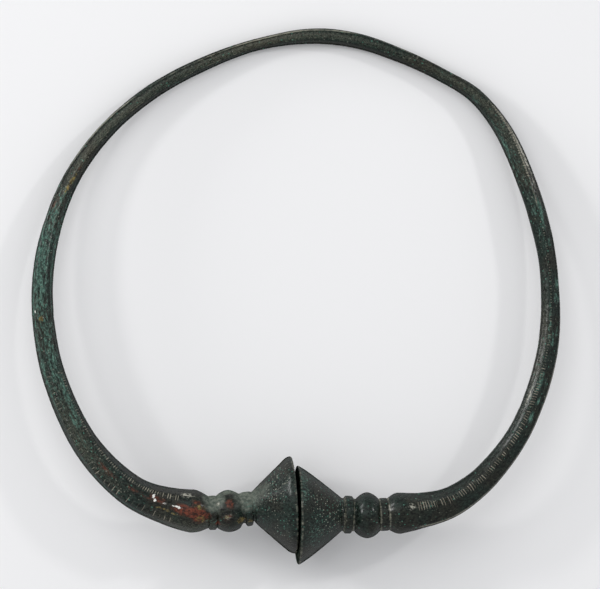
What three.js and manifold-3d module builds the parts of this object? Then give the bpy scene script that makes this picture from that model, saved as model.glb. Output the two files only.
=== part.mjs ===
// A cast bronze neck ring with two buffer terminals, lying on a table as it does when nobody wears it.
// Millimetres, +Z up. +Y points to the back of the hoop, and the terminals meet at -Y.
// It touches the table with the rims of both terminals and with the underside of the back.
import * as THREE from 'three';
import { mergeVertices } from 'three/addons/utils/BufferGeometryUtils.js';
import Module from 'manifold-3d';

// Hoop: the bar runs at this distance from the middle of the ring, and is this thick at the back
const HOOP_RADIUS = 68;
const BAR_THICKNESS = 4;

// Five ribs run the whole length of the bar, with a slightly hollow panel between each two
const RIBS = 5;
const RIB_HALF_ANGLE = 10;
const RIB_FOOT_ANGLE = 15;
const RIB_HEIGHT = 0.24;
const PANEL_HOLLOW_SHARE = 0.085;
const RIBS_START = 24;
const RIBS_FULL = 38;

// The gap between the two faces, and how far its middle lies left of the middle of the ring
const FACE_GAP = 0.87;
const GAP_OFFSET = 0.405;

// The small worn spots that the ring lies on
const FLAT_DEPTH = 0.3;

// Each terminal, from its face back to the swelling where the bar starts.
// setback: from the middle of the ring to the axis. neckLeanAngle, beadLeanAngle and
// swellingLeanAngle: how many degrees the axis leans away from the middle of the ring, from the face
// to each of these. coneBulgePower: the cone's radius falls with this power of the distance from the
// rim, so 1 is straight. shoulderLength: how far the cone's rim is rounded over behind the lip.
// crustShare: how far the inner side of the collars is filled up with corrosion, from 0 to 1.
const LEFT_TERMINAL = {
  setback: 55.65,
  neckLeanAngle: 3.2,
  beadLeanAngle: 4.2,
  swellingLeanAngle: 2.6,
  rimRadius: 12.85,
  lipRadius: 0.4,
  shoulderLength: 1.1,
  coneLength: 10.83,
  coneBulgePower: 1,
  neckRadius: 4.1,
  neckLength: 0.3,
  collarRadius: 4.85,
  collarWidth: 2.4,
  beadRadius: 5.55,
  beadWidth: 6.6,
  grooveRadius: 4.15,
  grooveWidth: 0.5,
  lowCollarRadius: 4.7,
  lowCollarWidth: 2.1,
  swellingRadius: 5.7,
  swellingRise: 4.6,
  crustShare: 0.8,
};
const RIGHT_TERMINAL = {
  setback: 58.1,
  neckLeanAngle: -0.3,
  beadLeanAngle: 0.4,
  swellingLeanAngle: -0.7,
  rimRadius: 13.05,
  lipRadius: 0.28,
  shoulderLength: 0.4,
  coneLength: 11.8,
  coneBulgePower: 1.1,
  neckRadius: 4.35,
  neckLength: 0.5,
  collarRadius: 4.95,
  collarWidth: 2.4,
  beadRadius: 6.05,
  beadWidth: 6.7,
  grooveRadius: 4.2,
  grooveWidth: 0.4,
  lowCollarRadius: 4.3,
  lowCollarWidth: 2.0,
  swellingRadius: 5.5,
  swellingRise: 3.4,
  crustShare: 0,
};

// The hoop was bent by hand, so it is neither round nor even. Each station gives its bearing in
// degrees from +X, its distance from the middle as a share of HOOP_RADIUS, its thickness as a share
// of BAR_THICKNESS, and how many degrees the first rib has turned from the top towards the outside.
const HOOP_STATIONS = [
  [234, 0.98, 2.28, 42],
  [228, 0.997, 2.1, 42],
  [218, 1.003, 1.85, 39],
  [207, 0.996, 1.69, 33],
  [192, 0.989, 1.51, 32],
  [174, 0.988, 1.39, 42],
  [156, 0.988, 1.19, 56],
  [140, 0.983, 1.08, 52],
  [125, 0.977, 1.04, 41],
  [110, 0.981, 0.93, 38],
  [98, 1.002, 0.83, 40],
  [86, 1.029, 1.05, 40],
  [76, 1.04, 1.07, 42],
  [66, 1.041, 0.99, 46],
  [57, 1.051, 0.92, 46],
  [48, 1.069, 1.03, 37],
  [39, 1.056, 1.18, 29],
  [30, 1.029, 1.3, 18],
  [18, 1.008, 1.33, 6],
  [6, 1.004, 1.21, 0],
  [-12, 1.014, 1.4, -9],
  [-30, 1.026, 1.5, -10],
  [-42, 1.026, 1.7, -10],
  [-48, 1.021, 1.87, -12],
  [-54, 1.006, 2.12, -15],
  [-60, 0.972, 2.46, -17],
];

// How finely the surface is faceted
const POINTS_PER_RIB = 6;
const RING_SPACING = 4;
const LIP_STEPS = 3;
const SHOULDER_STEPS = 2;
const CONE_STEPS = 5;
const BEAD_STEPS = 6;
const SWELLING_STEPS = 3;
const CURVE_DIVISIONS = 2000;
const LEVELLING_TURNS = 6;

// A collar has bevelled edges this wide
const COLLAR_BEVEL = 0.45;

const BRONZE = { color: 0x2f3a33, roughness: 0.42, metalness: 0.55 };

const degrees = THREE.MathUtils.degToRad;
const mix = THREE.MathUtils.lerp;
const smooth = THREE.MathUtils.smoothstep;

// Where each feature of a terminal starts, as a distance from its face
function terminalPlaces(size) {
  const collar = size.coneLength + size.neckLength;
  const bead = collar + size.collarWidth + size.grooveWidth;
  const lowCollar = bead + size.beadWidth;
  const swellingFoot = lowCollar + size.lowCollarWidth;
  const swelling = swellingFoot + size.swellingRise;
  return { collar, bead, lowCollar, swellingFoot, swelling };
}

// The point on a terminal's axis at a distance from its face. side is -1 on the left, 1 on the right.
function axisPoint(side, size, distance, lean) {
  const faceX = side * FACE_GAP / 2 - GAP_OFFSET;
  const x = faceX + side * distance * Math.cos(degrees(lean));
  const y = -size.setback - distance * Math.sin(degrees(lean));
  return new THREE.Vector3(x, y, 0);
}

function terminalAxis(side, size) {
  const places = terminalPlaces(size);
  const beadMiddle = places.bead + size.beadWidth / 2;
  return [
    axisPoint(side, size, 0, 0),
    axisPoint(side, size, places.collar, size.neckLeanAngle),
    axisPoint(side, size, beadMiddle, size.beadLeanAngle),
    axisPoint(side, size, places.swelling, size.swellingLeanAngle),
  ];
}

// The middle line of the whole ring, from the left face round the back to the right face
function middleLine() {
  const hoop = HOOP_STATIONS.map(([bearing, reach]) => {
    const angle = degrees(bearing);
    const radius = HOOP_RADIUS * reach;
    return new THREE.Vector3(radius * Math.cos(angle), radius * Math.sin(angle), 0);
  });
  const points = [
    ...terminalAxis(-1, LEFT_TERMINAL),
    ...hoop,
    ...terminalAxis(1, RIGHT_TERMINAL).reverse(),
  ];
  const line = new THREE.CatmullRomCurve3(points, false, 'centripetal');
  line.arcLengthDivisions = CURVE_DIVISIONS;
  return line;
}

// The distance along the middle line of each point that the line was drawn through
function pointDistances(line) {
  const spans = line.points.length - 1;
  const perSpan = Math.round(CURVE_DIVISIONS / spans);
  const lengths = line.getLengths(spans * perSpan);
  return line.points.map((point, index) => lengths[index * perSpan]);
}

// A smooth value between the stations. keys are [distance, value] in rising order.
function valueAt(keys, distance) {
  const last = keys.length - 1;
  if (distance <= keys[0][0]) return keys[0][1];
  if (distance >= keys[last][0]) return keys[last][1];
  const index = keys.findIndex(([place]) => place > distance) - 1;
  const slope = (at) => {
    const before = keys[Math.max(at - 1, 0)];
    const after = keys[Math.min(at + 1, last)];
    return (after[1] - before[1]) / (after[0] - before[0]);
  };
  const [startPlace, start] = keys[index];
  const [endPlace, end] = keys[index + 1];
  const span = endPlace - startPlace;
  const t = (distance - startPlace) / span;
  const rise = end - start;
  const startSlope = slope(index) * span;
  const endSlope = slope(index + 1) * span;
  const bend = 3 * rise - 2 * startSlope - endSlope;
  const turn = startSlope + endSlope - 2 * rise;
  return start + startSlope * t + bend * t * t + turn * t * t * t;
}

// A collar as rings of [distance, radius, crusted radius]: up, across and down
function collarRings(start, width, radius, foot) {
  return [
    [start, foot, foot],
    [start + COLLAR_BEVEL, radius, foot],
    [start + width - COLLAR_BEVEL, radius, foot],
    [start + width, foot, foot],
  ];
}

// The turned profile of a terminal: [distance from the face, radius, radius on the crusted side]
function terminalProfile(size) {
  const places = terminalPlaces(size);
  const rings = [];
  for (let step = 0; step <= LIP_STEPS; step += 1) {
    const turn = (step / LIP_STEPS) * Math.PI / 2;
    const radius = size.rimRadius - size.lipRadius * (1 - Math.sin(turn));
    rings.push([size.lipRadius * (1 - Math.cos(turn)), radius, radius]);
  }
  const shoulderEnd = size.lipRadius + size.shoulderLength;
  const fall = size.rimRadius - size.neckRadius;
  const shoulderDrop = fall * size.shoulderLength / (2 * size.coneLength - size.shoulderLength);
  for (let step = 1; step <= SHOULDER_STEPS; step += 1) {
    const t = step / SHOULDER_STEPS;
    const radius = size.rimRadius - shoulderDrop * t * t;
    rings.push([mix(size.lipRadius, shoulderEnd, t), radius, radius]);
  }
  for (let step = 1; step <= CONE_STEPS; step += 1) {
    const t = step / CONE_STEPS;
    const distance = mix(shoulderEnd, size.coneLength, t);
    const straight = size.rimRadius - shoulderDrop;
    const radius = mix(straight, size.neckRadius, t ** size.coneBulgePower);
    rings.push([distance, radius, radius]);
  }
  rings.push(...collarRings(places.collar, size.collarWidth, size.collarRadius, size.neckRadius));
  for (let step = 0; step <= BEAD_STEPS; step += 1) {
    const t = step / BEAD_STEPS;
    const bulge = 1 - (2 * t - 1) ** 2;
    const radius = mix(size.grooveRadius, size.beadRadius, bulge);
    rings.push([places.bead + size.beadWidth * t, radius, radius]);
  }
  const lowCollar = collarRings(
    places.lowCollar, size.lowCollarWidth, size.lowCollarRadius, size.grooveRadius);
  rings.push(...lowCollar.slice(1));
  for (let step = 1; step < SWELLING_STEPS; step += 1) {
    const t = step / SWELLING_STEPS;
    const radius = mix(size.grooveRadius, size.swellingRadius, Math.sin(t * Math.PI / 2));
    rings.push([places.swellingFoot + size.swellingRise * t, radius, radius]);
  }
  return rings;
}

// Every ring of the surface: its place along the middle line, its radius on the outer and the inner
// side, and how far the ribs stand out there, from 0 to 1
function surfaceRings(line) {
  const whole = line.getLength();
  const leftPlaces = terminalPlaces(LEFT_TERMINAL);
  const rightPlaces = terminalPlaces(RIGHT_TERMINAL);
  const barStart = leftPlaces.swelling;
  const barEnd = whole - rightPlaces.swelling;
  const distances = pointDistances(line);
  const offset = terminalAxis(-1, LEFT_TERMINAL).length;
  const radiusKeys = [
    [barStart, LEFT_TERMINAL.swellingRadius],
    ...HOOP_STATIONS.map(([, , girth], index) => {
      return [distances[index + offset], BAR_THICKNESS * girth / 2];
    }),
    [barEnd, RIGHT_TERMINAL.swellingRadius],
  ];
  const rollKeys = HOOP_STATIONS.map(([, , , roll], index) => [distances[index + offset], roll]);
  const makeRing = (distance, outer, inner) => {
    const fromFace = Math.min(distance, whole - distance);
    const ribbed = smooth(fromFace, RIBS_START, RIBS_FULL);
    return { distance, outer, inner, ribbed, roll: valueAt(rollKeys, distance) };
  };
  const left = terminalProfile(LEFT_TERMINAL).map(([distance, radius, filled]) => {
    return makeRing(distance, radius, mix(radius, filled, LEFT_TERMINAL.crustShare));
  });
  const right = terminalProfile(RIGHT_TERMINAL).map(([distance, radius, filled]) => {
    return makeRing(whole - distance, radius, mix(radius, filled, RIGHT_TERMINAL.crustShare));
  });
  const steps = Math.ceil((barEnd - barStart) / RING_SPACING);
  const bar = [];
  for (let step = 0; step <= steps; step += 1) {
    const distance = mix(barStart, barEnd, step / steps);
    const radius = valueAt(radiusKeys, distance);
    bar.push(makeRing(distance, radius, radius));
  }
  return [...left, ...bar, ...right.reverse()];
}

// The points around one rib: the angle from its middle where the surface is round, the angle where it
// is ribbed, how much of the rib's height is missing there, and how much of the panel's hollow
const EVEN_STEP = 360 / RIBS / POINTS_PER_RIB;
const PANEL_POINT = RIB_FOOT_ANGLE + (360 / RIBS - 2 * RIB_FOOT_ANGLE) / 3;
const AROUND_RIB = [
  [-1.5 * EVEN_STEP, -RIB_FOOT_ANGLE, 1, 0.35],
  [-0.5 * EVEN_STEP, -RIB_HALF_ANGLE, 0, 0],
  [0.5 * EVEN_STEP, RIB_HALF_ANGLE, 0, 0],
  [1.5 * EVEN_STEP, RIB_FOOT_ANGLE, 1, 0.35],
  [2.5 * EVEN_STEP, PANEL_POINT, 0.6, 1],
  [3.5 * EVEN_STEP, 360 / RIBS - PANEL_POINT, 0.6, 1],
];

function ringPoints(line, whole, ring) {
  const share = Math.min(Math.max(ring.distance / whole, 0), 1);
  const middle = line.getPointAt(share);
  const along = line.getTangentAt(share);
  const outward = new THREE.Vector3(-along.y, along.x, 0);
  const points = [];
  for (let rib = 0; rib < RIBS; rib += 1) {
    for (const [evenAngle, ribAngle, drop, hollow] of AROUND_RIB) {
      const angle = degrees(ring.roll + rib * 360 / RIBS + mix(evenAngle, ribAngle, ring.ribbed));
      const innerShare = smooth(-Math.sin(angle), -0.6, 0.6);
      const round = mix(ring.outer, ring.inner, innerShare);
      const cut = RIB_HEIGHT * drop + PANEL_HOLLOW_SHARE * hollow * round;
      const radius = round - ring.ribbed * cut;
      const point = middle.clone();
      point.addScaledVector(outward, radius * Math.sin(angle));
      point.z += radius * Math.cos(angle);
      points.push(point);
    }
  }
  return { middle, points };
}

// The closed surface of the ring in its own plane, with a flat face at each end
function ringSurface() {
  const line = middleLine();
  const whole = line.getLength();
  const rings = surfaceRings(line).map((ring) => ringPoints(line, whole, ring));
  const around = RIBS * POINTS_PER_RIB;
  const positions = [];
  rings.forEach(({ points }) => points.forEach((point) => positions.push(...point.toArray())));
  const leftFace = positions.length / 3;
  positions.push(...rings[0].middle.toArray());
  const rightFace = positions.length / 3;
  positions.push(...rings[rings.length - 1].middle.toArray());
  const faces = [];
  for (let ring = 0; ring < rings.length - 1; ring += 1) {
    for (let side = 0; side < around; side += 1) {
      const next = (side + 1) % around;
      const here = ring * around;
      const beyond = here + around;
      faces.push(here + side, beyond + side, here + next);
      faces.push(beyond + side, beyond + next, here + next);
    }
  }
  const lastRing = (rings.length - 1) * around;
  for (let side = 0; side < around; side += 1) {
    const next = (side + 1) % around;
    faces.push(leftFace, side, next);
    faces.push(rightFace, lastRing + next, lastRing + side);
  }
  const surface = new THREE.BufferGeometry();
  surface.setAttribute('position', new THREE.Float32BufferAttribute(positions, 3));
  surface.setIndex(faces);
  return surface;
}

// The lowest point of the front half (side -1) or of the back half (side 1)
function lowestPoint(geometry, side) {
  const place = geometry.getAttribute('position');
  let lowest = null;
  for (let index = 0; index < place.count; index += 1) {
    const onSide = place.getY(index) * side > 0;
    if (onSide && (lowest === null || place.getZ(index) < lowest.z)) {
      lowest = { y: place.getY(index), z: place.getZ(index) };
    }
  }
  return lowest;
}

// Lean the ring back until its terminals and its back lie equally low, then put its middle over the
// origin and let the worn spots reach just below the table
function layDown(geometry) {
  for (let turn = 0; turn < LEVELLING_TURNS; turn += 1) {
    const front = lowestPoint(geometry, -1);
    const back = lowestPoint(geometry, 1);
    geometry.rotateX(-Math.atan2(back.z - front.z, back.y - front.y));
  }
  geometry.computeBoundingBox();
  const box = geometry.boundingBox;
  const middle = box.getCenter(new THREE.Vector3());
  geometry.translate(-middle.x, -middle.y, -box.min.z - FLAT_DEPTH);
  return geometry;
}

const wasm = await Module();
wasm.setup();

function toSolid(geometry) {
  const bare = geometry.clone();
  bare.deleteAttribute('normal');
  bare.deleteAttribute('uv');
  const merged = mergeVertices(bare, 1e-5);
  return new wasm.Manifold(new wasm.Mesh({
    numProp: 3,
    vertProperties: new Float32Array(merged.getAttribute('position').array),
    triVerts: new Uint32Array(merged.index.array),
  }));
}

function toGeometry(solid) {
  const mesh = solid.getMesh();
  const geometry = new THREE.BufferGeometry();
  geometry.setAttribute('position', new THREE.BufferAttribute(mesh.vertProperties, 3));
  geometry.setIndex(new THREE.BufferAttribute(mesh.triVerts, 1));
  geometry.computeVertexNormals();
  return geometry;
}

// Wear the ring flat where it touches the table
function wearFlat(geometry) {
  const tableSide = 4 * HOOP_RADIUS;
  const tableDepth = 4 * FLAT_DEPTH + BAR_THICKNESS;
  const table = new THREE.BoxGeometry(tableSide, tableSide, tableDepth);
  table.translate(0, 0, -tableDepth / 2);
  return toGeometry(toSolid(geometry).subtract(toSolid(table)));
}

const bronze = new THREE.MeshStandardMaterial(BRONZE);
const torc = new THREE.Mesh(wearFlat(layDown(ringSurface())), bronze);
torc.name = 'torc';

const model = new THREE.Group();
model.add(torc);

export default model;
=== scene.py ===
import math

import bpy
import numpy as np
from mathutils import Matrix, Vector


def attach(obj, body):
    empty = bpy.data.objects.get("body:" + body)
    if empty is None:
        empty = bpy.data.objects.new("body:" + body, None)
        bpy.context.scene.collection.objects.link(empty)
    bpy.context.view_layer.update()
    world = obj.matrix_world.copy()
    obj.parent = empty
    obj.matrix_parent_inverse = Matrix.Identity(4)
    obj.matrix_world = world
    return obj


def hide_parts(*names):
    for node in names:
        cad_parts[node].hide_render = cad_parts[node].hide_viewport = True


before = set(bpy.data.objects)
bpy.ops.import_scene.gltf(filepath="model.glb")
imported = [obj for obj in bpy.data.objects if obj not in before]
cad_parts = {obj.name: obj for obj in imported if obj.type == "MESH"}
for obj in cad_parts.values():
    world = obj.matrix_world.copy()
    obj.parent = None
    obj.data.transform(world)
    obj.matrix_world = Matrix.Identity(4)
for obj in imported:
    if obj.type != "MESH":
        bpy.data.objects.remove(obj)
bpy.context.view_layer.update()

# Sizes are in millimetres and become metres when the rod is made
MM = 0.001

# Hoop: how far the bar runs from the middle of the ring, and how thick it is at the back
HOOP_RADIUS = 68
BAR_THICKNESS = 4

# The gap between the two faces, and how far its middle lies left of the middle of the ring
FACE_GAP = 0.87
GAP_OFFSET = 0.405

# Each terminal, from its face back to the swelling where the bar starts. The leans are degrees.
LEFT_TERMINAL = {
    "setback": 55.35,
    "neck_lean": 3.2,
    "bead_lean": 5.2,
    "swelling_lean": 3.2,
    "rim": 12.85,
    "lip": 0.4,
    "shoulder": 1.8,
    "cone_length": 10.83,
    "cone_power": 1.0,
    "neck": 4.1,
    "neck_length": 0.3,
    "collar": 4.85,
    "collar_width": 2.4,
    "bead": 5.55,
    "bead_width": 6.6,
    "groove": 4.15,
    "groove_width": 0.5,
    "low_collar": 4.7,
    "low_collar_width": 2.1,
    "swelling": 5.7,
    "swelling_rise": 4.6,
    "crust": 0.8,
}
RIGHT_TERMINAL = {
    "setback": 58.1,
    "neck_lean": -0.3,
    "bead_lean": 0.4,
    "swelling_lean": -0.7,
    "rim": 13.05,
    "lip": 0.28,
    "shoulder": 0.4,
    "cone_length": 11.8,
    "cone_power": 1.1,
    "neck": 4.35,
    "neck_length": 0.5,
    "collar": 4.95,
    "collar_width": 2.4,
    "bead": 6.05,
    "bead_width": 6.5,
    "groove": 4.2,
    "groove_width": 0.6,
    "low_collar": 4.35,
    "low_collar_width": 2.4,
    "swelling": 5.5,
    "swelling_rise": 3.0,
    "crust": 0.0,
}

# Bearing in degrees, reach as a share of the hoop radius, thickness as a share of the bar's, and how
# far the first rib has rolled from the top towards the outside
HOOP_STATIONS = [
    (234, 0.98, 2.28, 42),
    (228, 0.997, 2.1, 42),
    (218, 1.003, 1.85, 39),
    (207, 0.996, 1.69, 33),
    (192, 0.989, 1.51, 32),
    (174, 0.988, 1.39, 42),
    (156, 0.988, 1.19, 56),
    (140, 0.983, 1.08, 52),
    (125, 0.977, 1.04, 41),
    (110, 0.981, 0.93, 38),
    (98, 1.002, 0.83, 40),
    (86, 1.029, 1.05, 40),
    (76, 1.04, 1.07, 42),
    (66, 1.041, 0.99, 46),
    (57, 1.051, 0.92, 46),
    (48, 1.069, 1.03, 37),
    (39, 1.056, 1.18, 29),
    (30, 1.029, 1.3, 18),
    (18, 1.008, 1.33, 6),
    (6, 1.004, 1.21, 0),
    (-12, 1.014, 1.4, -9),
    (-30, 1.026, 1.5, -10),
    (-42, 1.026, 1.7, -10),
    (-48, 1.021, 1.87, -12),
    (-54, 1.006, 2.12, -15),
    (-60, 0.972, 2.46, -17),
]

# How the ring lies: it leans back on its hoop, and its middle is over the origin
LEAN = math.radians(-4.8796)
LYING_SHIFT = (-0.4442, -0.3363, 7.7781)

# Ribs that run the whole length of the bar, with a hollow panel between each two
RIBS = 5
RIB_TURN = 360 / RIBS
RIB_HEIGHT = 0.24
RIBS_START = 24
RIBS_FULL = 38
PANEL_HOLLOW = 0.085

# Ten points for each rib and the panel beside it: the angle from the rib's middle, how much of the
# rib's height is missing, how much of the panel's hollow, and how much of a nick's depth
RIB_SECTION = [
    (-15, 1.0, 0.35, 0.0),
    (-10, 0.0, 0.0, 0.55),
    (-5, -0.1, 0.0, 1.0),
    (0, -0.14, 0.0, 1.0),
    (5, -0.1, 0.0, 1.0),
    (10, 0.0, 0.0, 0.55),
    (15, 1.0, 0.35, 0.0),
    (25.5, 0.6, 0.9, 0.0),
    (36, 0.6, 1.08, 0.0),
    (46.5, 0.6, 0.9, 0.0),
]
POINTS_PER_RIB = len(RIB_SECTION)
RIB_MIDDLE_POINT = 3
AROUND = RIBS * POINTS_PER_RIB
POINT_TURN = 360 / AROUND

# Nicks across the ribs. A nick strays along its rib within NICK_SWAY, and its end leans within
# NICK_LEAN, the same way for NICKS_IN_A_RUN nicks, as a tool is held for a while.
NICK_PITCH = 0.72
NICK_WIDTH = 0.3
NICK_DEPTH = 0.17
NICK_SWAY = 0.14
NICK_LEAN = 0.3
NICKS_IN_A_RUN = 6

# How far from a face the nicks start, over what length a row fades, and where the drawn bar starts
NICKS_START = 31
ROW_FADE = 0.8
BAR_START = 28

# Rows of nicks: the rib, the bearings where the row starts and ends, how deep the nicks are, how pale
# they are (pale earth in them, and on the right arm a painted highlight), how many points they reach to
# each side, and one nick in how many is cut
NICK_ROWS = [
    (0, 242, 214, 0.6, 0.6, 2.4, 2),
    (0, 214, 196, 0.45, 0.35, 2.6, 2),
    (0, 143, 106, 0.45, 0.22, 1.2, 1),
    (0, 97, 80, 0.45, 0.22, 1.2, 1),
    (0, 45, 27, 0.7, 0.95, 1.6, 1),
    (0, 16, -15, 0.8, 0.5, 1.1, 1),
    (0, -15, -44, 1.0, 0.75, 2.2, 1),
    (0, -44, -61, 1.2, 0.95, 2.5, 1),
    (4, 241, 214, 0.8, 0.85, 1.3, 1),
    (4, 214, 196, 0.6, 0.6, 1.1, 1),
    (4, -18, -52, 0.4, 0.1, 1.5, 1),
    (1, 40, -62, 0.4, 0.25, 1.2, 1),
    (1, 235, 150, 0.6, 0.1, 1.6, 1),
    (2, 235, -60, 0.5, 0.1, 1.6, 1),
    (3, 235, -60, 0.5, 0.1, 1.6, 1),
]

# Patches of patina: how far along the ring from its left face, how far turned from the top towards
# the outside in degrees, half the length, half the width, and strength
TEAL_PATCHES = [
    (111, 16, 17, 1.9, 0.62),
    (104, 62, 26, 1.3, 0.5),
    (112, -62, 16, 1.0, 0.55),
    (88, -6, 14, 2.2, 0.48),
    (124, 8, 3.5, 0.8, 0.6),
    (129, -4, 2.2, 0.6, 0.6),
    (92.5, -10, 2.6, 1.2, 0.6),
    (85.5, -20, 5, 1.0, 0.55),
    (84, 56, 12, 0.9, 0.55),
    (75, -26, 7, 0.8, 0.62),
    (68, -4, 3, 0.4, 0.8),
    (62, 5, 2.5, 0.4, 0.5),
    (46, 78, 20, 1.0, 0.35),
    (22, 34, 2, 0.7, 0.4),
    (146, 62, 9, 0.35, 0.5),
    (264, 58, 1.2, 0.4, 0.8),
    (261.3, -38, 1.5, 0.6, 0.55),
    (277, -50, 9, 0.6, 0.5),
    (290, -20, 14, 1.4, 0.3),
    (295.8, 25, 2.2, 0.6, 1.1),
    (298.5, 16, 2.4, 0.5, 0.85),
    (303, -12, 8, 1.1, 0.25),
    (305, 30, 1.0, 0.4, 0.55),
    (316.1, 52, 1.4, 0.5, 0.75),
    (319.7, 38, 1.4, 0.5, 0.85),
    (327, -9, 5, 0.45, 0.5),
    (328.9, 43, 1.2, 0.4, 0.65),
    (331, 12, 1.5, 0.4, 0.8),
    (342.7, -6, 2.2, 0.55, 0.9),
    (343, 30, 1.6, 0.5, 0.55),
    (347.8, 21, 1.0, 0.5, 0.75),
    (352.6, 17, 1.7, 0.6, 1.0),
    (424, -40, 1.2, 6, 0.42),
    (421, 30, 2.5, 5, 0.28),
    (12, 5, 2, 2, 0.35),
]
RED_PATCHES = [
    (53.3, 4, 4.4, 0.85, 0.6),
    (44.5, -4, 3.5, 0.6, 0.62),
    (37, -8, 5.0, 1.2, 0.66),
    (28.5, 2, 4.6, 1.6, 1.0),
    (25.5, 12, 3.2, 2.2, 0.95),
    (26.5, -22, 1.8, 0.8, 0.8),
    (17.3, -20, 1.2, 1.3, 0.95),
    (18, 19, 1.7, 1.6, 0.6),
    (20.6, 42, 0.8, 0.9, 0.85),
    (138.8, -16, 2.2, 0.5, 0.55),
    (132.5, -20, 1.6, 0.5, 0.5),
    (127.5, 30, 2.4, 0.6, 0.6),
]
OCHRE_PATCHES = [
    (25.4, -12, 1.3, 0.5, 0.85),
    (14.8, 40, 1.3, 0.9, 0.72),
    (12.4, 48, 1.1, 0.7, 0.6),
    (18.2, 20, 0.6, 0.6, 0.8),
    (96.5, 14, 0.7, 0.4, 1.0),
    (135.3, -14, 1.7, 0.45, 0.8),
    (132.5, -6, 1.7, 0.45, 0.8),
    (33, 18, 3.5, 0.5, 0.6),
    (25, 24, 1.6, 0.8, 0.6),
]
PALE_PATCHES = [
    (29.4, -44, 1.9, 0.75, 0.6),
    (395.0, -16, 1.0, 0.8, 0.62),
    (20.4, -26, 0.5, 0.4, 0.7),
    # The next three patches, along the outer edge of the upper right arm, are pale specks together with
    # a painted reflection of the floor
    (277, 50, 7.5, 0.6, 1.25),
    (268, 48, 5, 0.25, 0.7),
    (288, 44, 6, 0.25, 0.6),
    (347, -46, 3, 0.45, 0.6),
    (17.8, 19, 0.9, 0.9, 0.4),
]
WHITE_PATCHES = [
    (38.2, -17, 0.36, 0.3, 1.1),
    (37.5, -4.5, 0.36, 0.3, 1.1),
    (34.6, -4, 0.9, 0.3, 0.6),
    (31.2, -2, 1.5, 0.4, 0.68),
    (98.5, 48, 0.22, 0.22, 1.5),
]
CRUST_PATCHES = [
    (21.5, -48, 2.6, 3.6, 1.1),
    (12.4, -44, 2.8, 4.0, 1.1),
    (8.5, -40, 2.0, 3.2, 0.6),
    (17, -70, 3.0, 2.0, 0.8),
]

# Places where pale and green specks are thick
SPECK_PATCHES = [
    (6, -38, 4.5, 6, 0.9),
    (5, 30, 4, 7, 0.5),
    (417, -2, 5, 6, 1.0),
    (421, -30, 3, 6, 0.7),
    (402, 8, 4, 3, 0.4),
    (392, -8, 7, 3, 0.35),
    (340, 10, 20, 3, 0.3),
    (283, 0, 24, 2.6, 0.5),
    (250, 0, 24, 2, 0.4),
    (200, 0, 30, 2, 0.35),
    (132, -5, 9, 1.6, 0.7),
    (98, 0, 34, 3.5, 0.6),
    (56, 10, 14, 3, 0.5),
]

# Olive dust on top of the ring, which also lightens the top of the bar as a painted sheen
DUST_AND_SHEEN_PATCHES = [
    (150, 0, 26, 1.2, 0.5),
    (200, 0, 34, 1.1, 0.5),
    (262, -4, 26, 1.4, 0.42),
    (335, -48, 20, 1.2, 0.35),
    (64, 20, 16, 2.4, 0.4),
    (28, 60, 9, 3, 0.4),
]

# Ribs with a painted highlight line along the top: the rib, the bearings where the line starts and
# ends, and how strong it is
HIGHLIGHT_RIBS = [
    (1, -6, -62, 0.75),
    (0, 150, 128, 0.8),
    (0, 46, 20, 0.7),
    (0, 126, 104, 0.45),
    (0, 104, 76, 0.95),
    (0, 74, 60, 0.4),
    (4, 0, -50, 0.45),
    (4, 150, 100, 0.35),
    (4, 240, 196, 0.3),
]

# How wide a painted highlight line is, and over what length it fades out at its ends
HIGHLIGHT_LINE_WIDTH = 0.17
HIGHLIGHT_LINE_FADE = 4

# Pale lines at the collar edges and a painted highlight line at the rims: how strong and how wide
COLLAR_LINE = 0.55
COLLAR_LINE_WIDTH = 0.22
RIM_HIGHLIGHT = 0.35
RIM_HIGHLIGHT_WIDTH = 0.3

# How far uneven hand work, corrosion lumps, white spots and teal crust swell the surface
HAND_WAVE = 0.045
LUMP_HEIGHT = 0.03
WHITE_HEIGHT = 0.07
TEAL_HEIGHT = 0.05

# Small dents and chips: place as above, half the length, half the width, depth
DENTS = [
    (14.3, 88, 0.5, 1.6, 0.55),
    (11.0, 90, 0.4, 1.6, 0.4),
    (280.4, -92, 0.9, 0.7, 0.16),
    (283.4, -92, 0.8, 0.7, 0.14),
    (123, 94, 1.0, 0.8, 0.15),
    (97, -94, 0.8, 0.6, 0.12),
    (158.5, 88, 1.6, 0.9, 0.14),
    (350, -88, 1.2, 0.8, 0.1),
]

# How finely the terminals are turned
LIP_CUTS = 4
SHOULDER_CUTS = 4
CONE_CUTS = 26
COLLAR_BEVEL = 0.45
BEAD_CUTS = 20
SWELLING_CUTS = 12
LINE_CUTS = 16


def smooth_step(value, low, high):
    share = np.clip((value - low) / (high - low), 0, 1)
    return share * share * (3 - 2 * share)


def mix(start, end, share):
    return start + (end - start) * share


def terminal_places(size):
    collar = size["cone_length"] + size["neck_length"]
    bead = collar + size["collar_width"] + size["groove_width"]
    low_collar = bead + size["bead_width"]
    swelling_foot = low_collar + size["low_collar_width"]
    return {
        "collar": collar,
        "bead": bead,
        "low_collar": low_collar,
        "swelling_foot": swelling_foot,
        "swelling": swelling_foot + size["swelling_rise"],
    }


def axis_point(side, size, distance, lean):
    x = side * FACE_GAP / 2 - GAP_OFFSET + side * distance * math.cos(math.radians(lean))
    y = -size["setback"] - distance * math.sin(math.radians(lean))
    return Vector((x, y, 0))


def terminal_axis(side, size):
    places = terminal_places(size)
    bead_middle = places["bead"] + size["bead_width"] / 2
    return [
        axis_point(side, size, 0, 0),
        axis_point(side, size, places["collar"], size["neck_lean"]),
        axis_point(side, size, bead_middle, size["bead_lean"]),
        axis_point(side, size, places["swelling"], size["swelling_lean"]),
    ]


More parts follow.
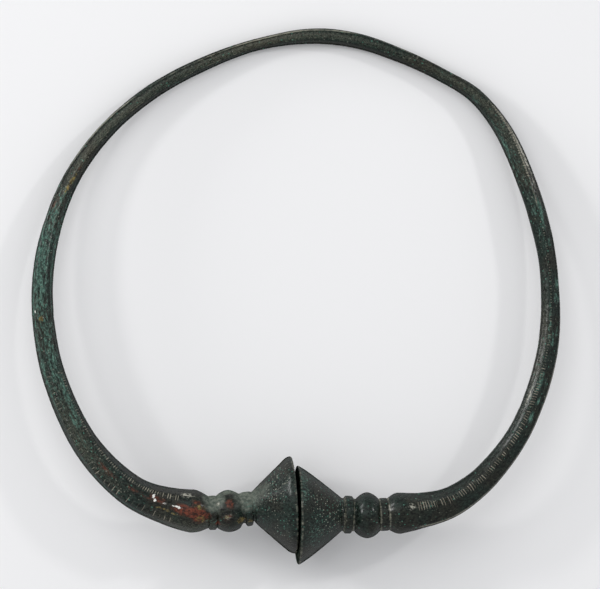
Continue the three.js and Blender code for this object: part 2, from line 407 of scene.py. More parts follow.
def rounded_span(before, start, end, after, share):
    """A point on the smooth line between start and end, bent as its neighbours ask."""
    near = math.sqrt((start - before).length)
    span = math.sqrt((end - start).length)
    far = math.sqrt((after - end).length)
    leave = (start - before) / near - (end - before) / (near + span) + (end - start) / span
    arrive = (end - start) / span - (after - start) / (span + far) + (after - end) / far
    leave *= span
    arrive *= span
    square = share * share
    cube = square * share
    return (
        start
        + leave * share
        + (3 * (end - start) - 2 * leave - arrive) * square
        + (leave + arrive - 2 * (end - start)) * cube
    )


def middle_line():
    """Points along the middle of the whole ring, and the distance of each point it is drawn through."""
    through = terminal_axis(-1, LEFT_TERMINAL)
    for bearing, reach, _, _ in HOOP_STATIONS:
        angle = math.radians(bearing)
        radius = HOOP_RADIUS * reach
        through.append(Vector((radius * math.cos(angle), radius * math.sin(angle), 0)))
    through += terminal_axis(1, RIGHT_TERMINAL)[::-1]
    ends = [2 * through[0] - through[1], *through, 2 * through[-1] - through[-2]]
    points = [through[0]]
    for index in range(1, len(ends) - 2):
        for cut in range(1, LINE_CUTS + 1):
            points.append(rounded_span(*ends[index - 1 : index + 3], cut / LINE_CUTS))
    points = np.array([point[:] for point in points])
    steps = np.linalg.norm(np.diff(points, axis=0), axis=1)
    distances = np.concatenate([[0], np.cumsum(steps)])
    return points, distances, distances[::LINE_CUTS]


LINE_POINTS, LINE_DISTANCES, STATION_DISTANCES = middle_line()
WHOLE = float(LINE_DISTANCES[-1])
LINE_BEARINGS = np.degrees(np.unwrap(np.arctan2(LINE_POINTS[:, 1], LINE_POINTS[:, 0])))
LINE_BEARINGS += 360 if LINE_BEARINGS[0] < 0 else 0
LEFT_PLACES = terminal_places(LEFT_TERMINAL)
RIGHT_PLACES = terminal_places(RIGHT_TERMINAL)
FIRST_HOOP_POINT = len(terminal_axis(-1, LEFT_TERMINAL))


def smooth_between(places, values, wanted):
    """Smooth values between the stations, level before the first and after the last."""
    places = np.asarray(places, float)
    values = np.asarray(values, float)
    slopes = np.empty(len(places))
    slopes[1:-1] = (values[2:] - values[:-2]) / (places[2:] - places[:-2])
    slopes[0] = (values[1] - values[0]) / (places[1] - places[0])
    slopes[-1] = (values[-1] - values[-2]) / (places[-1] - places[-2])
    wanted = np.clip(wanted, places[0], places[-1])
    index = np.clip(np.searchsorted(places, wanted, side="right") - 1, 0, len(places) - 2)
    span = places[index + 1] - places[index]
    share = (wanted - places[index]) / span
    rise = values[index + 1] - values[index]
    leave = slopes[index] * span
    arrive = slopes[index + 1] * span
    bend = 3 * rise - 2 * leave - arrive
    turn = leave + arrive - 2 * rise
    return values[index] + leave * share + bend * share**2 + turn * share**3


def bar_radius(distance):
    hoop = STATION_DISTANCES[FIRST_HOOP_POINT : FIRST_HOOP_POINT + len(HOOP_STATIONS)]
    places = [LEFT_PLACES["swelling"], *hoop, WHOLE - RIGHT_PLACES["swelling"]]
    radii = [BAR_THICKNESS * girth / 2 for _, _, girth, _ in HOOP_STATIONS]
    radii = [LEFT_TERMINAL["swelling"], *radii, RIGHT_TERMINAL["swelling"]]
    return smooth_between(places, radii, distance)


def bar_roll(distance):
    hoop = STATION_DISTANCES[FIRST_HOOP_POINT : FIRST_HOOP_POINT + len(HOOP_STATIONS)]
    return smooth_between(hoop, [roll for _, _, _, roll in HOOP_STATIONS], distance)


def distance_at(bearing):
    """The distance along the ring of the place that has this bearing."""
    return float(np.interp(-bearing, -LINE_BEARINGS, LINE_DISTANCES))


def collar_profile(start, width, radius, foot):
    """A collar with rounded shoulders."""
    bevel = COLLAR_BEVEL
    rings = [(start, foot)]
    for share in (0.25, 0.6, 1.0):
        rings.append((start + bevel * share, mix(foot, radius, math.sin(share * math.pi / 2))))
    for share in (0.33, 0.67):
        rings.append((mix(start + bevel, start + width - bevel, share), radius * 1.004))
    for share in (1.0, 0.6, 0.25):
        rings.append((start + width - bevel * share, mix(foot, radius, math.sin(share * math.pi / 2))))
    rings.append((start + width, foot))
    return rings


def terminal_profile(size):
    """Distance from the face and radius of each turned ring, from the face to the swelling's top."""
    places = terminal_places(size)
    rings = []
    for cut in range(LIP_CUTS + 1):
        turn = cut / LIP_CUTS * math.pi / 2
        along = size["lip"] * (1 - math.cos(turn))
        rings.append((along, size["rim"] - size["lip"] * (1 - math.sin(turn))))
    shoulder_end = size["lip"] + size["shoulder"]
    fall = size["rim"] - size["neck"]
    drop = fall * size["shoulder"] / (2 * size["cone_length"] - size["shoulder"])
    for cut in range(1, SHOULDER_CUTS + 1):
        share = cut / SHOULDER_CUTS
        along = mix(size["lip"], shoulder_end, share)
        rings.append((along, size["rim"] - drop * share * share))
    for cut in range(1, CONE_CUTS + 1):
        share = cut / CONE_CUTS
        along = mix(shoulder_end, size["cone_length"], share)
        radius = mix(size["rim"] - drop, size["neck"], share ** size["cone_power"])
        rings.append((along, radius))
    rings += collar_profile(places["collar"], size["collar_width"], size["collar"], size["neck"])
    for cut in range(BEAD_CUTS + 1):
        share = cut / BEAD_CUTS
        radius = mix(size["groove"], size["bead"], 1 - (2 * share - 1) ** 2)
        rings.append((places["bead"] + size["bead_width"] * share, radius))
    low_collar = collar_profile(
        places["low_collar"], size["low_collar_width"], size["low_collar"], size["groove"]
    )
    rings += low_collar[1:]
    for cut in range(1, SWELLING_CUTS + 1):
        share = cut / SWELLING_CUTS
        radius = mix(size["groove"], size["swelling"], math.sin(share * math.pi / 2))
        rings.append((places["swelling_foot"] + size["swelling_rise"] * share, radius))
    return rings


def only_this(piece):
    """Select one object alone and make it the active one."""
    bpy.ops.object.select_all(action="DESELECT")
    piece.select_set(True)
    bpy.context.view_layer.objects.active = piece


def turn_terminal(name, rings, side, start):
    """Turn one terminal along X: a disc for the face, then one extrusion for each ring."""
    bpy.ops.object.select_all(action="DESELECT")
    first_along, first_radius = rings[0]
    bpy.ops.mesh.primitive_circle_add(
        vertices=AROUND,
        radius=first_radius * MM,
        fill_type="NGON",
        location=(0, 0, 0),
        rotation=(0, math.pi / 2, 0),
    )
    piece = bpy.context.active_object
    piece.name = name
    bpy.ops.object.transform_apply(location=True, rotation=True, scale=True)
    bpy.ops.object.mode_set(mode="EDIT")
    bpy.ops.mesh.select_all(action="SELECT")
    bpy.ops.transform.translate(value=((start + side * first_along) * MM, 0, 0))
    along, radius = first_along, first_radius
    for next_along, next_radius in rings[1:]:
        step = side * (next_along - along) * MM
        middle = ((start + side * next_along) * MM, 0, 0)
        share = next_radius / radius
        bpy.ops.mesh.extrude_region_move(TRANSFORM_OT_translate={"value": (step, 0, 0)})
        bpy.ops.transform.resize(value=(1, share, share), center_override=middle)
        along, radius = next_along, next_radius
    bpy.ops.mesh.delete(type="ONLY_FACE")
    bpy.ops.object.mode_set(mode="OBJECT")
    return piece


def draw_bar(start, nicks):
    """Draw the bar: one pitch of it with the rings that a nick needs, repeated along the bar."""
    bpy.ops.object.select_all(action="DESELECT")
    radius = LEFT_TERMINAL["swelling"]
    bpy.ops.mesh.primitive_circle_add(
        vertices=AROUND,
        radius=radius * MM,
        fill_type="NOTHING",
        location=(0, 0, 0),
        rotation=(0, math.pi / 2, 0),
    )
    piece = bpy.context.active_object
    piece.name = "bar"
    bpy.ops.object.transform_apply(location=True, rotation=True, scale=True)
    bpy.ops.object.mode_set(mode="EDIT")
    bpy.ops.mesh.select_all(action="SELECT")
    bpy.ops.transform.translate(value=(start * MM, 0, 0))
    half = NICK_WIDTH / 2
    for step in (half, NICK_PITCH - NICK_WIDTH, half):
        bpy.ops.mesh.extrude_region_move(TRANSFORM_OT_translate={"value": (step * MM, 0, 0)})
    bpy.ops.object.mode_set(mode="OBJECT")
    repeat = piece.modifiers.new("repeat", "ARRAY")
    repeat.count = nicks
    repeat.use_relative_offset = False
    repeat.use_constant_offset = True
    repeat.constant_offset_displace = (NICK_PITCH * MM, 0, 0)
    repeat.use_merge_vertices = True
    repeat.merge_threshold = 0.01 * MM
    only_this(piece)
    bpy.ops.object.modifier_apply(modifier=repeat.name)
    return piece


def join_rod(left, bar, right):
    """Join terminals and bar and close the two seams between them."""
    bpy.ops.object.select_all(action="DESELECT")
    for piece in (left, right, bar):
        piece.select_set(True)
    bpy.context.view_layer.objects.active = bar
    bpy.ops.object.join()
    middle = WHOLE / 2 * MM
    for side in (-1, 1):
        bpy.ops.object.mode_set(mode="EDIT")
        bpy.ops.mesh.select_mode(type="EDGE")
        bpy.ops.mesh.select_all(action="DESELECT")
        bpy.ops.object.mode_set(mode="OBJECT")
        edge_faces = {}
        for face in bar.data.polygons:
            for key in face.edge_keys:
                edge_faces[key] = edge_faces.get(key, 0) + 1
        vertices = bar.data.vertices
        for edge in bar.data.edges:
            open_edge = edge_faces.get(tuple(sorted(edge.vertices)), 0) == 1
            on_side = (vertices[edge.vertices[0]].co.x - middle) * side > 0
            edge.select = open_edge and on_side
        bpy.ops.object.mode_set(mode="EDIT")
        bpy.ops.mesh.bridge_edge_loops()
    bpy.ops.mesh.select_all(action="SELECT")
    bpy.ops.mesh.normals_make_consistent(inside=False)
    bpy.ops.object.mode_set(mode="OBJECT")
    bar.name = "neck_ring"
    bar.data.name = "neck_ring"
    return bar


def read_places(piece):
    places = np.empty(len(piece.data.vertices) * 3)
    piece.data.vertices.foreach_get("co", places)
    return places.reshape(-1, 3)


def write_places(piece, places):
    piece.data.vertices.foreach_set("co", places.ravel())
    piece.data.update()


def write_mask(piece, name, values):
    values = np.asarray(values, np.float32)
    if values.ndim == 2:
        mask = piece.data.attributes.new(name, "FLOAT_VECTOR", "POINT")
        mask.data.foreach_set("vector", values.ravel())
    else:
        mask = piece.data.attributes.new(name, "FLOAT", "POINT")
        mask.data.foreach_set("value", values)


def hash_share(*numbers):
    """A repeatable share from 0 to 1 for each set of whole numbers."""
    total = np.zeros_like(numbers[0], float)
    for number, weight in zip(numbers, (12.9898, 78.233, 37.719)):
        total = total + number * weight
    wave = np.sin(total) * 43758.5453
    return wave - np.floor(wave)


def patch_mask(patches, along, turned, radius):
    """Soft-edged patches on the rod, each at half its strength at its half length and half width."""
    mask = np.zeros_like(radius)
    for place, side, half_length, half_width, strength in patches:
        off = (turned - side + 180) % 360 - 180
        far = ((along - place) / half_length) ** 2 + (np.radians(off) * radius / half_width) ** 2
        mask = np.maximum(mask, strength * 0.5**far)
    return mask


def uneven(along, turned, beat):
    """A gentle wave over the rod, from -1 to 1, about six millimetres long at beat one."""
    around = np.radians(turned)
    wave = np.sin(beat * along * 1.03 + 2 * np.sin(around + 0.31 * beat * along))
    wave = wave + np.sin(beat * along * 0.71 + 3 * around + 1.7)
    return (wave + np.sin(beat * along * 0.43 - 2 * around + 0.6)) / 3


def between_bearings(along, start, end, fade):
    """One between two bearings of the hoop and nothing beyond, with a soft change at each."""
    first, last = distance_at(start), distance_at(end)
    begun = smooth_step(along, first - fade, first + fade)
    return begun * smooth_step(-along, -last - fade, fade - last)


def pale_edge_lines(along):
    """Pale lines at the collar edges, and a painted highlight line at the rims."""
    edge_lines = np.zeros_like(along)
    right = RIGHT_TERMINAL
    for start, width in (
        (RIGHT_PLACES["collar"], right["collar_width"]),
        (RIGHT_PLACES["low_collar"], right["low_collar_width"]),
    ):
        for edge in (start + 0.1, start + width + 0.05):
            off = (WHOLE - along - edge) / COLLAR_LINE_WIDTH
            edge_lines = np.maximum(edge_lines, COLLAR_LINE * 0.5 ** (off**2))
    for from_face in (along, WHOLE - along):
        off = (from_face - RIM_HIGHLIGHT_WIDTH) / RIM_HIGHLIGHT_WIDTH
        edge_lines = np.maximum(edge_lines, RIM_HIGHLIGHT * 0.5 ** (off**2))
    return edge_lines


def swage_ribs(piece):
    """Draw the rod down to its own thickness, press the ribs into it and cut the nicks."""
    places = read_places(piece)
    along = places[:, 0] / MM
    radius = np.hypot(places[:, 1], places[:, 2]) / MM
    angle = np.degrees(np.arctan2(places[:, 1], places[:, 2]))
    first = POINT_TURN / 2
    point = np.rint((angle - first) / POINT_TURN).astype(int) % AROUND
    rib = point // POINTS_PER_RIB
    slot = point % POINTS_PER_RIB
    section = np.array(RIB_SECTION, float)

    left_bar = LEFT_PLACES["swelling"]
    right_bar = WHOLE - RIGHT_PLACES["swelling"]
    on_bar = (along > left_bar) & (along < right_bar)
    radius = np.where(on_bar, bar_radius(along), radius)
    from_face = np.minimum(along, WHOLE - along)
    ribbed = smooth_step(from_face, RIBS_START, RIBS_FULL)
    roll = bar_roll(along)
    even_angle = (slot - RIB_MIDDLE_POINT) * POINT_TURN
    turned = roll + rib * RIB_TURN + mix(even_angle, section[slot, 0], ribbed)

    # Corrosion fills the left collars on the side towards the middle of the ring
    towards_middle = smooth_step(-np.sin(np.radians(turned)), -0.35, 0.1)
    filled = np.full_like(radius, np.inf)
    left = LEFT_TERMINAL
    for start, width, foot in (
        (LEFT_PLACES["collar"], left["collar_width"], left["neck"]),
        (LEFT_PLACES["low_collar"], left["low_collar_width"], left["groove"]),
    ):
        inside = (along > start) & (along < start + width)
        filled = np.where(inside, foot, filled)
    crusted = np.minimum(radius, filled)
    radius = mix(radius, crusted, towards_middle * left["crust"])

    cut = RIB_HEIGHT * section[slot, 1] + PANEL_HOLLOW * section[slot, 2] * radius
    radius = radius - ribbed * cut

    # A nick sits on every third ring; hand work makes each a little longer, deeper or further on
    beat = (along - BAR_START) / NICK_PITCH
    nick = np.rint(beat).astype(int)
    at_bottom = np.abs(beat - nick) < 0.05
    aside = np.abs(slot - RIB_MIDDLE_POINT)
    depth = np.zeros_like(radius)
    nick_pale = np.zeros_like(radius)
    for row_rib, start, end, row_depth, row_pale, reach, spacing in NICK_ROWS:
        inside = between_bearings(along, start, end, ROW_FADE)
        own_reach = reach * (0.65 + 0.65 * hash_share(nick, rib + 31))
        share = inside * smooth_step(own_reach + 0.5 - aside, 0, 1)
        share = share * (rib == row_rib) * (nick % spacing == 0)
        depth = np.maximum(depth, row_depth * share)
        nick_pale = np.maximum(nick_pale, row_pale * share)
    cut_here = at_bottom & on_bar & (from_face > NICKS_START)
    depth = depth * NICK_DEPTH * (0.6 + 0.7 * hash_share(nick, rib)) * np.clip(radius / 3, 0.6, 1)
    radius = radius - np.where(cut_here, depth, 0)
    shift = (hash_share(nick, rib + 7) - 0.5) * NICK_SWAY
    lean = (hash_share(nick // NICKS_IN_A_RUN, rib + 19) - 0.5) * NICK_LEAN
    shift = shift + lean * (slot - RIB_MIDDLE_POINT) / 3
    along = along + np.where((aside <= 3) & on_bar & (from_face > NICKS_START), shift, 0)

    # Unevenness of hand work and corrosion, lumps of crust, dents and chips
    masks = {
        "teal": patch_mask(TEAL_PATCHES, along, turned, radius),
        "red": patch_mask(RED_PATCHES, along, turned, radius),
        "ochre": patch_mask(OCHRE_PATCHES, along, turned, radius),
        "pale": patch_mask(PALE_PATCHES, along, turned, radius),
        "white": patch_mask(WHITE_PATCHES, along, turned, radius),
        "crust": patch_mask(CRUST_PATCHES, along, turned, radius),
        "specks": patch_mask(SPECK_PATCHES, along, turned, radius),
        "dust_and_sheen": patch_mask(DUST_AND_SHEEN_PATCHES, along, turned, radius),
    }
    on_face = (from_face < 0.05) & (radius < 0.9 * RIGHT_TERMINAL["rim"])
    lumps = uneven(along, turned, 1.9) * (0.2 + masks["crust"]) + 0.5 * uneven(along, turned, 4.7)
    swell = HAND_WAVE * uneven(along, turned, 0.45) + LUMP_HEIGHT * lumps
    swell = swell + WHITE_HEIGHT * masks["white"]
    swell = swell + TEAL_HEIGHT * masks["teal"] * (0.5 + uneven(along, turned, 3.1))
    for place, side, half_length, half_width, deep in DENTS:
        dent = [(place, side, half_length, half_width, deep)]
        swell = swell - patch_mask(dent, along, turned, radius)
    radius = radius + np.where(on_face, 0, swell)

    # Pale in the nick bottoms: pale earth, and on the right arm a painted highlight
    masks["nick_pale_and_highlight"] = np.where(cut_here, nick_pale * (0.3 + 0.95 * hash_share(nick, rib + 3)), 0)
    # Pale collar edge lines, and painted highlight lines at the rims and along the rib tops
    lightened_lines = pale_edge_lines(along)
    # Painted highlight lines along the tops of the ribs
    for highlight_rib, start, end, strength in HIGHLIGHT_RIBS:
        inside = between_bearings(along, start, end, HIGHLIGHT_LINE_FADE)
        line = 0.5 ** ((np.radians(section[slot, 0]) * radius / HIGHLIGHT_LINE_WIDTH) ** 2)
        lightened_lines = np.maximum(lightened_lines, strength * inside * line * (rib == highlight_rib))
    masks["pale_and_highlight_lines"] = lightened_lines
    around = np.radians(turned)
    # Painted shade: the top of the rod, used to darken the colour of its sides as if they lay in shade
    masks["painted_shade_upper_side"] = smooth_step(np.cos(around), 0.25, 0.85)
    places[:, 0] = along * MM
    places[:, 1] = radius * np.sin(around) * MM
    places[:, 2] = radius * np.cos(around) * MM
    write_places(piece, places)
    masks["rod_place"] = places
    return masks


def bend_round(piece):
    """Bend the straight rod along the middle line of the ring."""
    curve = bpy.data.curves.new("middle_line", "CURVE")
    curve.dimensions = "3D"
    curve.twist_mode = "Z_UP"
    spline = curve.splines.new("POLY")
    spline.points.add(len(LINE_POINTS) - 1)
    rows = np.ones((len(LINE_POINTS), 4))
    rows[:, :3] = LINE_POINTS * MM
    spline.points.foreach_set("co", rows.ravel())
    guide = bpy.data.objects.new("middle_line", curve)
    bpy.context.scene.collection.objects.link(guide)
    bend = piece.modifiers.new("bend", "CURVE")
    bend.object = guide
    bend.deform_axis = "POS_X"
    only_this(piece)
    bpy.ops.object.modifier_apply(modifier=bend.name)
    bpy.data.objects.remove(guide)
    bpy.data.curves.remove(curve)


def lay_down(piece):
    """Lean the ring back as it lies, then wear it flat where it touches the table."""
    shift = Vector(LYING_SHIFT) * MM
    piece.data.transform(Matrix.Translation(shift) @ Matrix.Rotation(LEAN, 4, "X"))
    only_this(piece)
    bpy.ops.object.mode_set(mode="EDIT")
    bpy.ops.mesh.select_all(action="SELECT")
    bpy.ops.mesh.bisect(
        plane_co=(0, 0, 0), plane_no=(0, 0, 1), use_fill=True, clear_inner=True, threshold=1e-7
    )
    bpy.ops.object.mode_set(mode="OBJECT")


def make_ring():
    bar_end = WHOLE - BAR_START
    nicks = int((bar_end - BAR_START) / NICK_PITCH)
    left = turn_terminal("left_terminal", terminal_profile(LEFT_TERMINAL), 1, 0)
    right = turn_terminal("right_terminal", terminal_profile(RIGHT_TERMINAL), -1, WHOLE)
    bar = draw_bar(BAR_START, nicks)
    ring = join_rod(left, bar, right)
    for name, values in swage_ribs(ring).items():
        write_mask(ring, name, values)
    bend_round(ring)
    lay_down(ring)
    only_this(ring)
    bpy.ops.object.shade_smooth_by_angle(angle=math.radians(50))
    return ring


ring = make_ring()


def new_group(name, inputs, outputs):
    """An empty node group with named sockets, each input given as name, kind and usual value."""
    group = bpy.data.node_groups.new(name, "ShaderNodeTree")
    for label, kind, value in inputs:
        socket = group.interface.new_socket(label, in_out="INPUT", socket_type=kind)
        if value is not None:
            socket.default_value = value
    for label, kind in outputs:
        group.interface.new_socket(label, in_out="OUTPUT", socket_type=kind)
    given = group.nodes.new("NodeGroupInput")
    result = group.nodes.new("NodeGroupOutput")
    return group, given.outputs, result.inputs


def add_node(tree, kind, label=None, **settings):
    node = tree.nodes.new(kind)
    if label:
        node.label = label
        node.name = label
    for name, value in settings.items():
        setattr(node, name, value)
    return node


def feed(tree, socket, value):
    """Link a socket to another one, or set its number or colour."""
    if isinstance(value, bpy.types.NodeSocket):
        tree.links.new(value, socket)
    else:
        socket.default_value = value


def noise(tree, place, scale, detail=4.0, roughness=0.55):
    node = add_node(tree, "ShaderNodeTexNoise")
    feed(tree, node.inputs["Vector"], place)
    feed(tree, node.inputs["Scale"], scale)
    node.inputs["Detail"].default_value = detail
    node.inputs["Roughness"].default_value = roughness
    return node.outputs["Fac"]


def maths(tree, operation, first, second=None):
    node = add_node(tree, "ShaderNodeMath", operation=operation)
    feed(tree, node.inputs[0], first)
    if second is not None:
        feed(tree, node.inputs[1], second)
    return node.outputs["Value"]


def ramp(tree, value, low, high, to_low=0.0, to_high=1.0):
    node = add_node(tree, "ShaderNodeMapRange", interpolation_type="SMOOTHSTEP")
    feed(tree, node.inputs["Value"], value)
    feed(tree, node.inputs["From Min"], low)
    feed(tree, node.inputs["From Max"], high)
    feed(tree, node.inputs["To Min"], to_low)
    feed(tree, node.inputs["To Max"], to_high)
    return node.outputs["Result"]


def blend(tree, share, under, over, label=None):
    node = add_node(tree, "ShaderNodeMix", label, data_type="RGBA")
    feed(tree, node.inputs["Factor"], share)
    feed(tree, node.inputs[6], under)
    feed(tree, node.inputs[7], over)
    return node.outputs[2]


def ragged_patch_group():
    """Breaks the soft edge of a painted patch into ragged islands."""
    group, given, result = new_group(
        "ragged_patch",
        [
            ("Place", "NodeSocketVector", None),
            ("Strength", "NodeSocketFloat", 0.0),
            ("Scale", "NodeSocketFloat", 900.0),
            ("Raggedness", "NodeSocketFloat", 1.2),
            ("Softness", "NodeSocketFloat", 0.12),
        ],
        [("Mask", "NodeSocketFloat")],
    )
    grain = noise(group, given["Place"], given["Scale"], detail=6, roughness=0.65)
    swing = maths(group, "MULTIPLY", maths(group, "SUBTRACT", grain, 0.5), given["Raggedness"])
    total = maths(group, "ADD", given["Strength"], swing)
    low = maths(group, "SUBTRACT", 0.5, given["Softness"])
    high = maths(group, "ADD", 0.5, given["Softness"])
    present = ramp(group, given["Strength"], 0.05, 0.25)
    group.links.new(maths(group, "MULTIPLY", ramp(group, total, low, high), present), result["Mask"])
    return group


def speckle_group():
    """Small specks, some large and most of them small."""
    group, given, result = new_group(
        "speckle",
        [
            ("Place", "NodeSocketVector", None),
            ("Scale", "NodeSocketFloat", 1500.0),
            ("Amount", "NodeSocketFloat", 0.3),
        ],
        [("Mask", "NodeSocketFloat")],
    )
    cells = add_node(group, "ShaderNodeTexVoronoi", feature="F1")
    feed(group, cells.inputs["Vector"], given["Place"])
    feed(group, cells.inputs["Scale"], given["Scale"])
    chance = add_node(group, "ShaderNodeSeparateColor")
    group.links.new(cells.outputs["Color"], chance.inputs["Color"])
    limit = maths(group, "SUBTRACT", 1.0, given["Amount"])
    size = ramp(group, chance.outputs["Red"], limit, 1.0, 0.0, 0.5)
    inner = maths(group, "MULTIPLY", size, 0.4)
    speck = ramp(group, cells.outputs["Distance"], size, inner)
    shown = maths(group, "GREATER_THAN", chance.outputs["Red"], limit)
    group.links.new(maths(group, "MULTIPLY", speck, shown), result["Mask"])
    return group


def dark_patina_group():
    """The smooth dark patina: green-black, olive and brown clouds with a fine mottle."""
    group, given, result = new_group(
        "dark_patina",
        [
            ("Place", "NodeSocketVector", None),
            ("Black", "NodeSocketColor", (0.0014, 0.0024, 0.002, 1)),
            ("Green", "NodeSocketColor", (0.0125, 0.0235, 0.018, 1)),
            ("Brown", "NodeSocketColor", (0.0185, 0.0205, 0.0145, 1)),
            ("Cloud Scale", "NodeSocketFloat", 130.0),
            ("Mottle Scale", "NodeSocketFloat", 1700.0),
        ],
        [("Color", "NodeSocketColor"), ("Mottle", "NodeSocketFloat")],
    )
    clouds = noise(group, given["Place"], given["Cloud Scale"], detail=3)
    mottle = noise(group, given["Place"], given["Mottle Scale"], detail=5, roughness=0.7)
    hue = blend(group, ramp(group, clouds, 0.42, 0.62), given["Green"], given["Brown"])
    body = blend(group, ramp(group, mottle, 0.36, 0.58), given["Black"], hue)
    group.links.new(body, result["Color"])
    group.links.new(mottle, result["Mottle"])
    return group


def pitting_group():
    """Fine pits and a rough skin, as a bent normal."""
    group, given, result = new_group(
        "pitting",
        [
            ("Place", "NodeSocketVector", None),
            ("Scale", "NodeSocketFloat", 1100.0),
            ("Crust", "NodeSocketFloat", 0.0),
            ("Depth", "NodeSocketFloat", 0.00007),
        ],
        [("Normal", "NodeSocketVector")],
    )
    skin = noise(group, given["Place"], given["Scale"], detail=6, roughness=0.6)
    pits = ramp(group, skin, 0.44, 0.34)
    rough = noise(group, given["Place"], maths(group, "MULTIPLY", given["Scale"], 1.7), detail=5)
    crusted = maths(group, "MULTIPLY", rough, given["Crust"])
    smooth_part = maths(group, "MULTIPLY", skin, 0.35)
    height = maths(group, "SUBTRACT", maths(group, "ADD", crusted, smooth_part), pits)
    bump = add_node(group, "ShaderNodeBump")
    bump.inputs["Strength"].default_value = 0.8
    feed(group, bump.inputs["Distance"], given["Depth"])
    feed(group, bump.inputs["Height"], height)
    group.links.new(bump.outputs["Normal"], result["Normal"])
    return group


def use_group(tree, group, label, **inputs):
    node = add_node(tree, "ShaderNodeGroup", label)
    node.node_tree = group
    for name, value in inputs.items():
        feed(tree, node.inputs[name.replace("_", " ")], value)
    return node.outputs


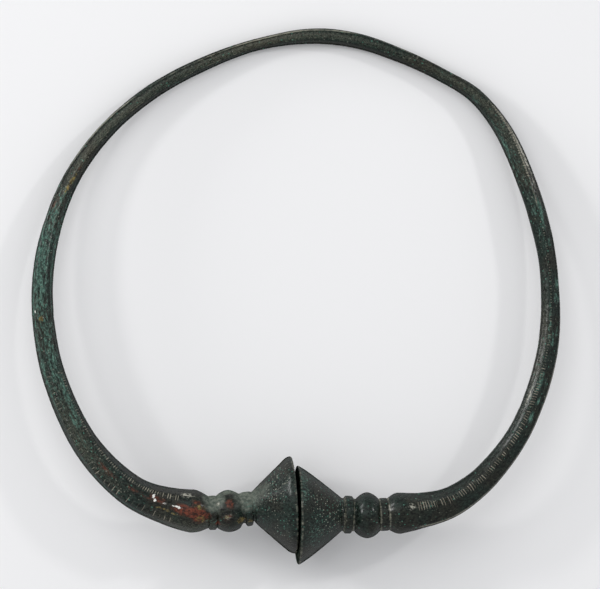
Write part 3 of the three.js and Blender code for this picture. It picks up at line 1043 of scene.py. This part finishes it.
def patinated_bronze():
    """Dark satin patina with teal, red, ochre, pale and crusted patches."""
    metal = bpy.data.materials.new("patinated_bronze")
    metal.use_nodes = True
    tree = metal.node_tree
    skin = tree.nodes["Principled BSDF"]
    rod = add_node(tree, "ShaderNodeAttribute", "place on the straight rod", attribute_name="rod_place")

    def drawn_out(label, stretch):
        """The place on the rod, with what is laid on it drawn out along the rod."""
        mapping = add_node(tree, "ShaderNodeMapping", label)
        mapping.inputs["Scale"].default_value = (1 / stretch, 1, 1)
        tree.links.new(rod.outputs["Vector"], mapping.inputs["Vector"])
        return mapping.outputs["Vector"]

    place = drawn_out("a little drawn out", 1.4)
    streaks = drawn_out("streaks along the rod", 3.0)
    ragged = ragged_patch_group()
    speckle = speckle_group()
    dark = use_group(tree, dark_patina_group(), "dark patina", Place=place)

    def painted(name):
        return add_node(tree, "ShaderNodeAttribute", name, attribute_name=name).outputs["Fac"]

    def patch(name, scale, raggedness, softness, where=None):
        sockets = use_group(
            tree,
            ragged,
            name + " patches",
            Place=where or place,
            Strength=painted(name),
            Scale=scale,
            Raggedness=raggedness,
            Softness=softness,
        )
        return sockets["Mask"]

    crust = patch("crust", 700.0, 1.0, 0.25)
    teal = patch("teal", 1900.0, 2.6, 0.3, streaks)
    red = patch("red", 1000.0, 2.0, 0.2, streaks)
    ochre = patch("ochre", 1300.0, 2.2, 0.2)
    pale = patch("pale", 1700.0, 1.6, 0.35)
    white = patch("white", 1800.0, 1.6, 0.12)
    dust_and_sheen = patch("dust_and_sheen", 3400.0, 2.2, 0.45)
    edge_lines = patch("pale_and_highlight_lines", 900.0, 1.8, 0.35)
    nicks = ramp(tree, painted("nick_pale_and_highlight"), 0.08, 0.62)

    def tone(name, first, second, scale):
        grain = ramp(tree, noise(tree, place, scale, detail=5, roughness=0.7), 0.38, 0.62)
        return blend(tree, grain, first, second, name)

    teal_tone = tone("teal tone", (0.014, 0.034, 0.028, 1), (0.11, 0.215, 0.17, 1), 2200.0)
    red_tone = tone("red tone", (0.02, 0.009, 0.006, 1), (0.155, 0.04, 0.022, 1), 1500.0)
    ochre_tone = tone("ochre tone", (0.04, 0.03, 0.01, 1), (0.22, 0.17, 0.06, 1), 1500.0)
    crust_tone = tone("crust tone", (0.042, 0.056, 0.046, 1), (0.125, 0.14, 0.115, 1), 1500.0)
    pale_tone = tone("pale tone", (0.09, 0.09, 0.068, 1), (0.42, 0.41, 0.35, 1), 1700.0)

    thick = maths(tree, "MULTIPLY_ADD", painted("specks"), 0.55)
    thick.node.inputs[2].default_value = 0.05
    fine = use_group(tree, speckle, "pale specks", Place=place, Scale=2400.0, Amount=thick)["Mask"]
    green = use_group(tree, speckle, "green specks", Place=place, Scale=1900.0, Amount=thick)["Mask"]
    # Painted shade: the sides of the rod, away from its top, are darkened in the colour
    painted_side_shade = ramp(tree, painted("painted_shade_upper_side"), 0.0, 1.0, 0.3, 0.0)
    bright = ramp(tree, painted("specks"), 0.1, 1.0, 0.3, 1.0)
    red_cover = maths(tree, "MULTIPLY", red, ramp(tree, painted("red"), 0.3, 0.85, 0.2, 1.0))

    # What lies on the dark patina, from the lowest layer to the topmost, some of it painted light:
    # name, cover and colour
    layers = [
        # Painted shade darkening the sides of the rod
        ("painted shade on the sides", painted_side_shade, (0.001, 0.002, 0.0018, 1)),
        # Olive dust, also a painted sheen lightening the top of the bar
        ("dust_and_sheen", maths(tree, "MULTIPLY", dust_and_sheen, 0.65), (0.12, 0.122, 0.09, 1)),
        ("green specks", green, (0.05, 0.135, 0.1, 1)),
        ("pale specks", maths(tree, "MULTIPLY", fine, bright), (0.3, 0.31, 0.25, 1)),
        ("crust", crust, crust_tone),
        ("teal", teal, teal_tone),
        ("red", red_cover, red_tone),
        ("ochre", ochre, ochre_tone),
        # Pale collar edge lines, and painted highlight lines at the rims and along the rib tops
        ("pale lines and painted highlights", maths(tree, "MULTIPLY", edge_lines, 0.75), (0.27, 0.265, 0.21, 1)),
        ("pale", pale, pale_tone),
        # Pale in the nicks: pale earth, and on the right arm a painted highlight
        ("nicks", maths(tree, "MULTIPLY", nicks, 0.9), (0.34, 0.31, 0.25, 1)),
        ("white", white, (0.72, 0.72, 0.68, 1)),
    ]
    colour = dark["Color"]
    for label, cover, over in layers:
        colour = blend(tree, cover, colour, over, label)
    tree.links.new(colour, skin.inputs["Base Color"])

    # Crust, teal, ochre and the pale in the nicks are dull, and the rest has a satin sheen
    earthy = crust
    for dull in (teal, ochre, nicks):
        earthy = maths(tree, "MAXIMUM", earthy, dull)
    roughness = ramp(tree, dark["Mottle"], 0.35, 0.65, 0.17, 0.3)
    rougher = add_node(tree, "ShaderNodeMix", "roughness", data_type="FLOAT")
    feed(tree, rougher.inputs[0], earthy)
    feed(tree, rougher.inputs[2], roughness)
    rougher.inputs[3].default_value = 0.72
    tree.links.new(rougher.outputs[0], skin.inputs["Roughness"])
    skin.inputs["Metallic"].default_value = 0.0
    skin.inputs["IOR"].default_value = 1.6
    skin.inputs["Specular IOR Level"].default_value = 0.12
    facing = add_node(tree, "ShaderNodeLayerWeight", "edges").outputs["Facing"]
    tree.links.new(ramp(tree, facing, 0.3, 0.85, 0.16, 0.0), skin.inputs["Specular IOR Level"])
    pitted = use_group(tree, pitting_group(), "pitting", Place=place, Crust=earthy)
    tree.links.new(pitted["Normal"], skin.inputs["Normal"])
    return metal


ring.data.materials.clear()
ring.data.materials.append(patinated_bronze())

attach(ring, "root")
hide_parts("torc")

# Pale floor
bpy.ops.object.select_all(action="DESELECT")
bpy.ops.mesh.primitive_plane_add(size=6, location=(0, 0, 0))
floor = bpy.context.active_object
floor.name = "floor"
paper = bpy.data.materials.new("pale_floor")
paper.use_nodes = True
paper_skin = paper.node_tree.nodes["Principled BSDF"]
paper_skin.inputs["Base Color"].default_value = (0.87, 0.868, 0.872, 1)
paper_skin.inputs["Roughness"].default_value = 0.8
floor.data.materials.append(paper)

# Camera: nearly straight above, a little to the left
CAMERA_TARGET = Vector((0.735, 0.08, 8.0)) * MM
CAMERA_TILT = math.radians(5)
CAMERA_DISTANCE = 1.0
PIXELS_PER_METRE = 3765
PICTURE_WIDTH = 600
SENSOR_WIDTH = 36
back = Vector((-math.sin(CAMERA_TILT), 0, math.cos(CAMERA_TILT)))
camera_data = bpy.data.cameras.new("camera")
camera = bpy.data.objects.new("camera", camera_data)
bpy.context.scene.collection.objects.link(camera)
right = Vector((math.cos(CAMERA_TILT), 0, math.sin(CAMERA_TILT)))
facing = Matrix((right, Vector((0, 1, 0)), back)).transposed().to_4x4()
camera.matrix_world = Matrix.Translation(CAMERA_TARGET + back * CAMERA_DISTANCE) @ facing
camera_data.sensor_width = SENSOR_WIDTH
camera_data.lens = SENSOR_WIDTH * PIXELS_PER_METRE * CAMERA_DISTANCE / PICTURE_WIDTH
camera_data.clip_start = 0.05
camera_data.clip_end = 20
bpy.context.scene.camera = camera


def soft_light(name, place, size, power, colour):
    """A soft box at a place in metres, turned towards the ring."""
    lamp = bpy.data.lights.new(name, "AREA")
    lamp.shape = "RECTANGLE"
    lamp.size, lamp.size_y = size
    lamp.energy = power
    lamp.color = colour
    holder = bpy.data.objects.new(name, lamp)
    bpy.context.scene.collection.objects.link(holder)
    holder.location = place
    holder.rotation_euler = (-Vector(place)).to_track_quat("-Z", "Y").to_euler()


# Plain soft studio light: a box on the left, a small one on the right, a low window on the left, a
# wide ceiling, and even light all round
soft_light("left_box", (-0.987, 0.359, 0.468), (0.2, 0.1), 3.0, (1, 0.995, 0.99))
soft_light("right_box", (0.81, 0.48, 0.61), (0.08, 0.08), 1.7, (1, 0.995, 0.99))
soft_light("low_window", (-0.95, 0.6, 0.16), (0.6, 0.16), 4.4, (1, 1, 1))
soft_light("ceiling", (-0.6, 0.8, 1.3), (1.8, 1.4), 7.5, (1, 1, 1))
world = bpy.data.worlds.new("studio")
bpy.context.scene.world = world
world.use_nodes = True
backdrop = world.node_tree.nodes["Background"]
backdrop.inputs["Color"].default_value = (0.97, 0.98, 1, 1)
backdrop.inputs["Strength"].default_value = 0.63
bpy.context.scene.view_settings.view_transform = "Standard"
